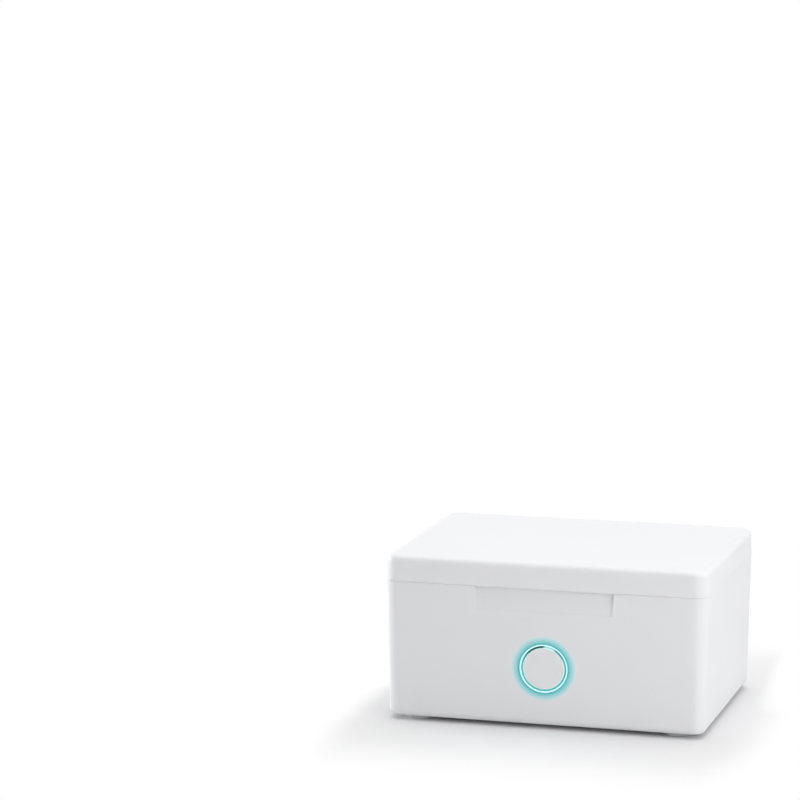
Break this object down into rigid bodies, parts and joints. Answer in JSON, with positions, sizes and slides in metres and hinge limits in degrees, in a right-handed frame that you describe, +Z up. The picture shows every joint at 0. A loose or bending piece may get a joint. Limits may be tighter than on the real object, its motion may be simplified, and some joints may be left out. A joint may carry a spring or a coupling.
{
  "type": "hearing aid dryer",
  "caption": "Low white box with a hinged lid, a warm air drying chamber with UV light inside, a finger recess and one ring-lit front button.",
  "frame": {"origin": "on the table, under the middle of the box", "axes": "+X to the right of the box as seen from the button side, +Y to the back, +Z up"},
  "size_m": [0.115, 0.0876, 0.0588],
  "materials": {
    "shell": "fine satin moulding",
    "inner": "satin moulding",
    "grille": "satin moulding",
    "button": "fine satin",
    "reflector": "polished sheet",
    "seal": "soft silicone",
    "foot": "soft silicone",
    "steel": "plated",
    "magnet": "plated",
    "window": "clear polished",
    "circuit": "solder mask",
    "led": "moulded chip",
    "duct": "heat proof moulding",
    "ceramic": "fired",
    "fins": "bare sheet",
    "black": "moulded",
    "winding": "enamelled wire",
    "chip": "moulded",
    "plug": "moulded",
    "lead": "soft sleeve",
    "light_ring": "clear diffuser, lit from behind"
  },
  "bodies": {
    "base": {"base_shell": "shell", "case_screws": "steel", "chamber_tub": "inner", "floor_grille": "grille", "deck_magnets": "magnet", "lid_sensor": "circuit", "uv_window": "window", "uv_board": "circuit", "uv_leds": "led", "air_duct": "duct", "heater_core": "ceramic", "heater_fins": "fins", "thermal_cutoff": "fins", "fan_frame": "black", "fan_stator": "winding", "fan_screws": "steel", "light_ring": "light_ring", "switch_body": "black", "button_board": "circuit", "ring_leds": "led", "main_board": "circuit", "board_parts": "chip", "board_plugs": "plug", "board_screws": "steel", "usb_inlet": "steel", "foot_front_left": "foot", "foot_front_right": "foot", "foot_back_left": "foot", "foot_back_right": "foot", "sensor_lead": "lead", "button_lead": "lead", "fan_lead": "lead", "heater_lead": "lead", "uv_lead": "lead"},
    "lid": {"lid_shell": "shell", "lid_liner": "inner", "lid_reflector": "reflector", "lid_seal": "seal", "lid_magnets": "magnet", "sensor_magnet": "magnet", "liner_screws": "steel", "hinge_pins": "steel"},
    "button": {"button_cap": "button"},
    "plunger": {"switch_plunger": "black"},
    "rotor": {"fan_rotor": "black", "fan_magnet": "magnet"}
  },
  "joints": [
    {"name": "lid_hinge", "type": "hinge", "parent": "base", "child": "lid", "pos_m": [0, 0.04036, 0.0543], "axis": [-1, 0, 0], "range_deg": [0, 110]},
    {"name": "button_press", "type": "slide", "parent": "base", "child": "button", "axis": [0, 0.9998, 0.0187], "range_m": [0, 0.0005], "stiffness_N_per_m": 2400},
    {"name": "plunger_travel", "type": "slide", "parent": "base", "child": "plunger", "axis": [0, 0.9998, 0.0187], "range_m": [0, 0.0005]},
    {"name": "fan_spin", "type": "hinge", "parent": "base", "child": "rotor", "pos_m": [0.022, 0.0015, 0.011], "axis": [0, 0, 1], "continuous": true}
  ],
  "couplings": [
    {"joint": "plunger_travel", "follows": "button_press", "ratio": 1}
  ]
}
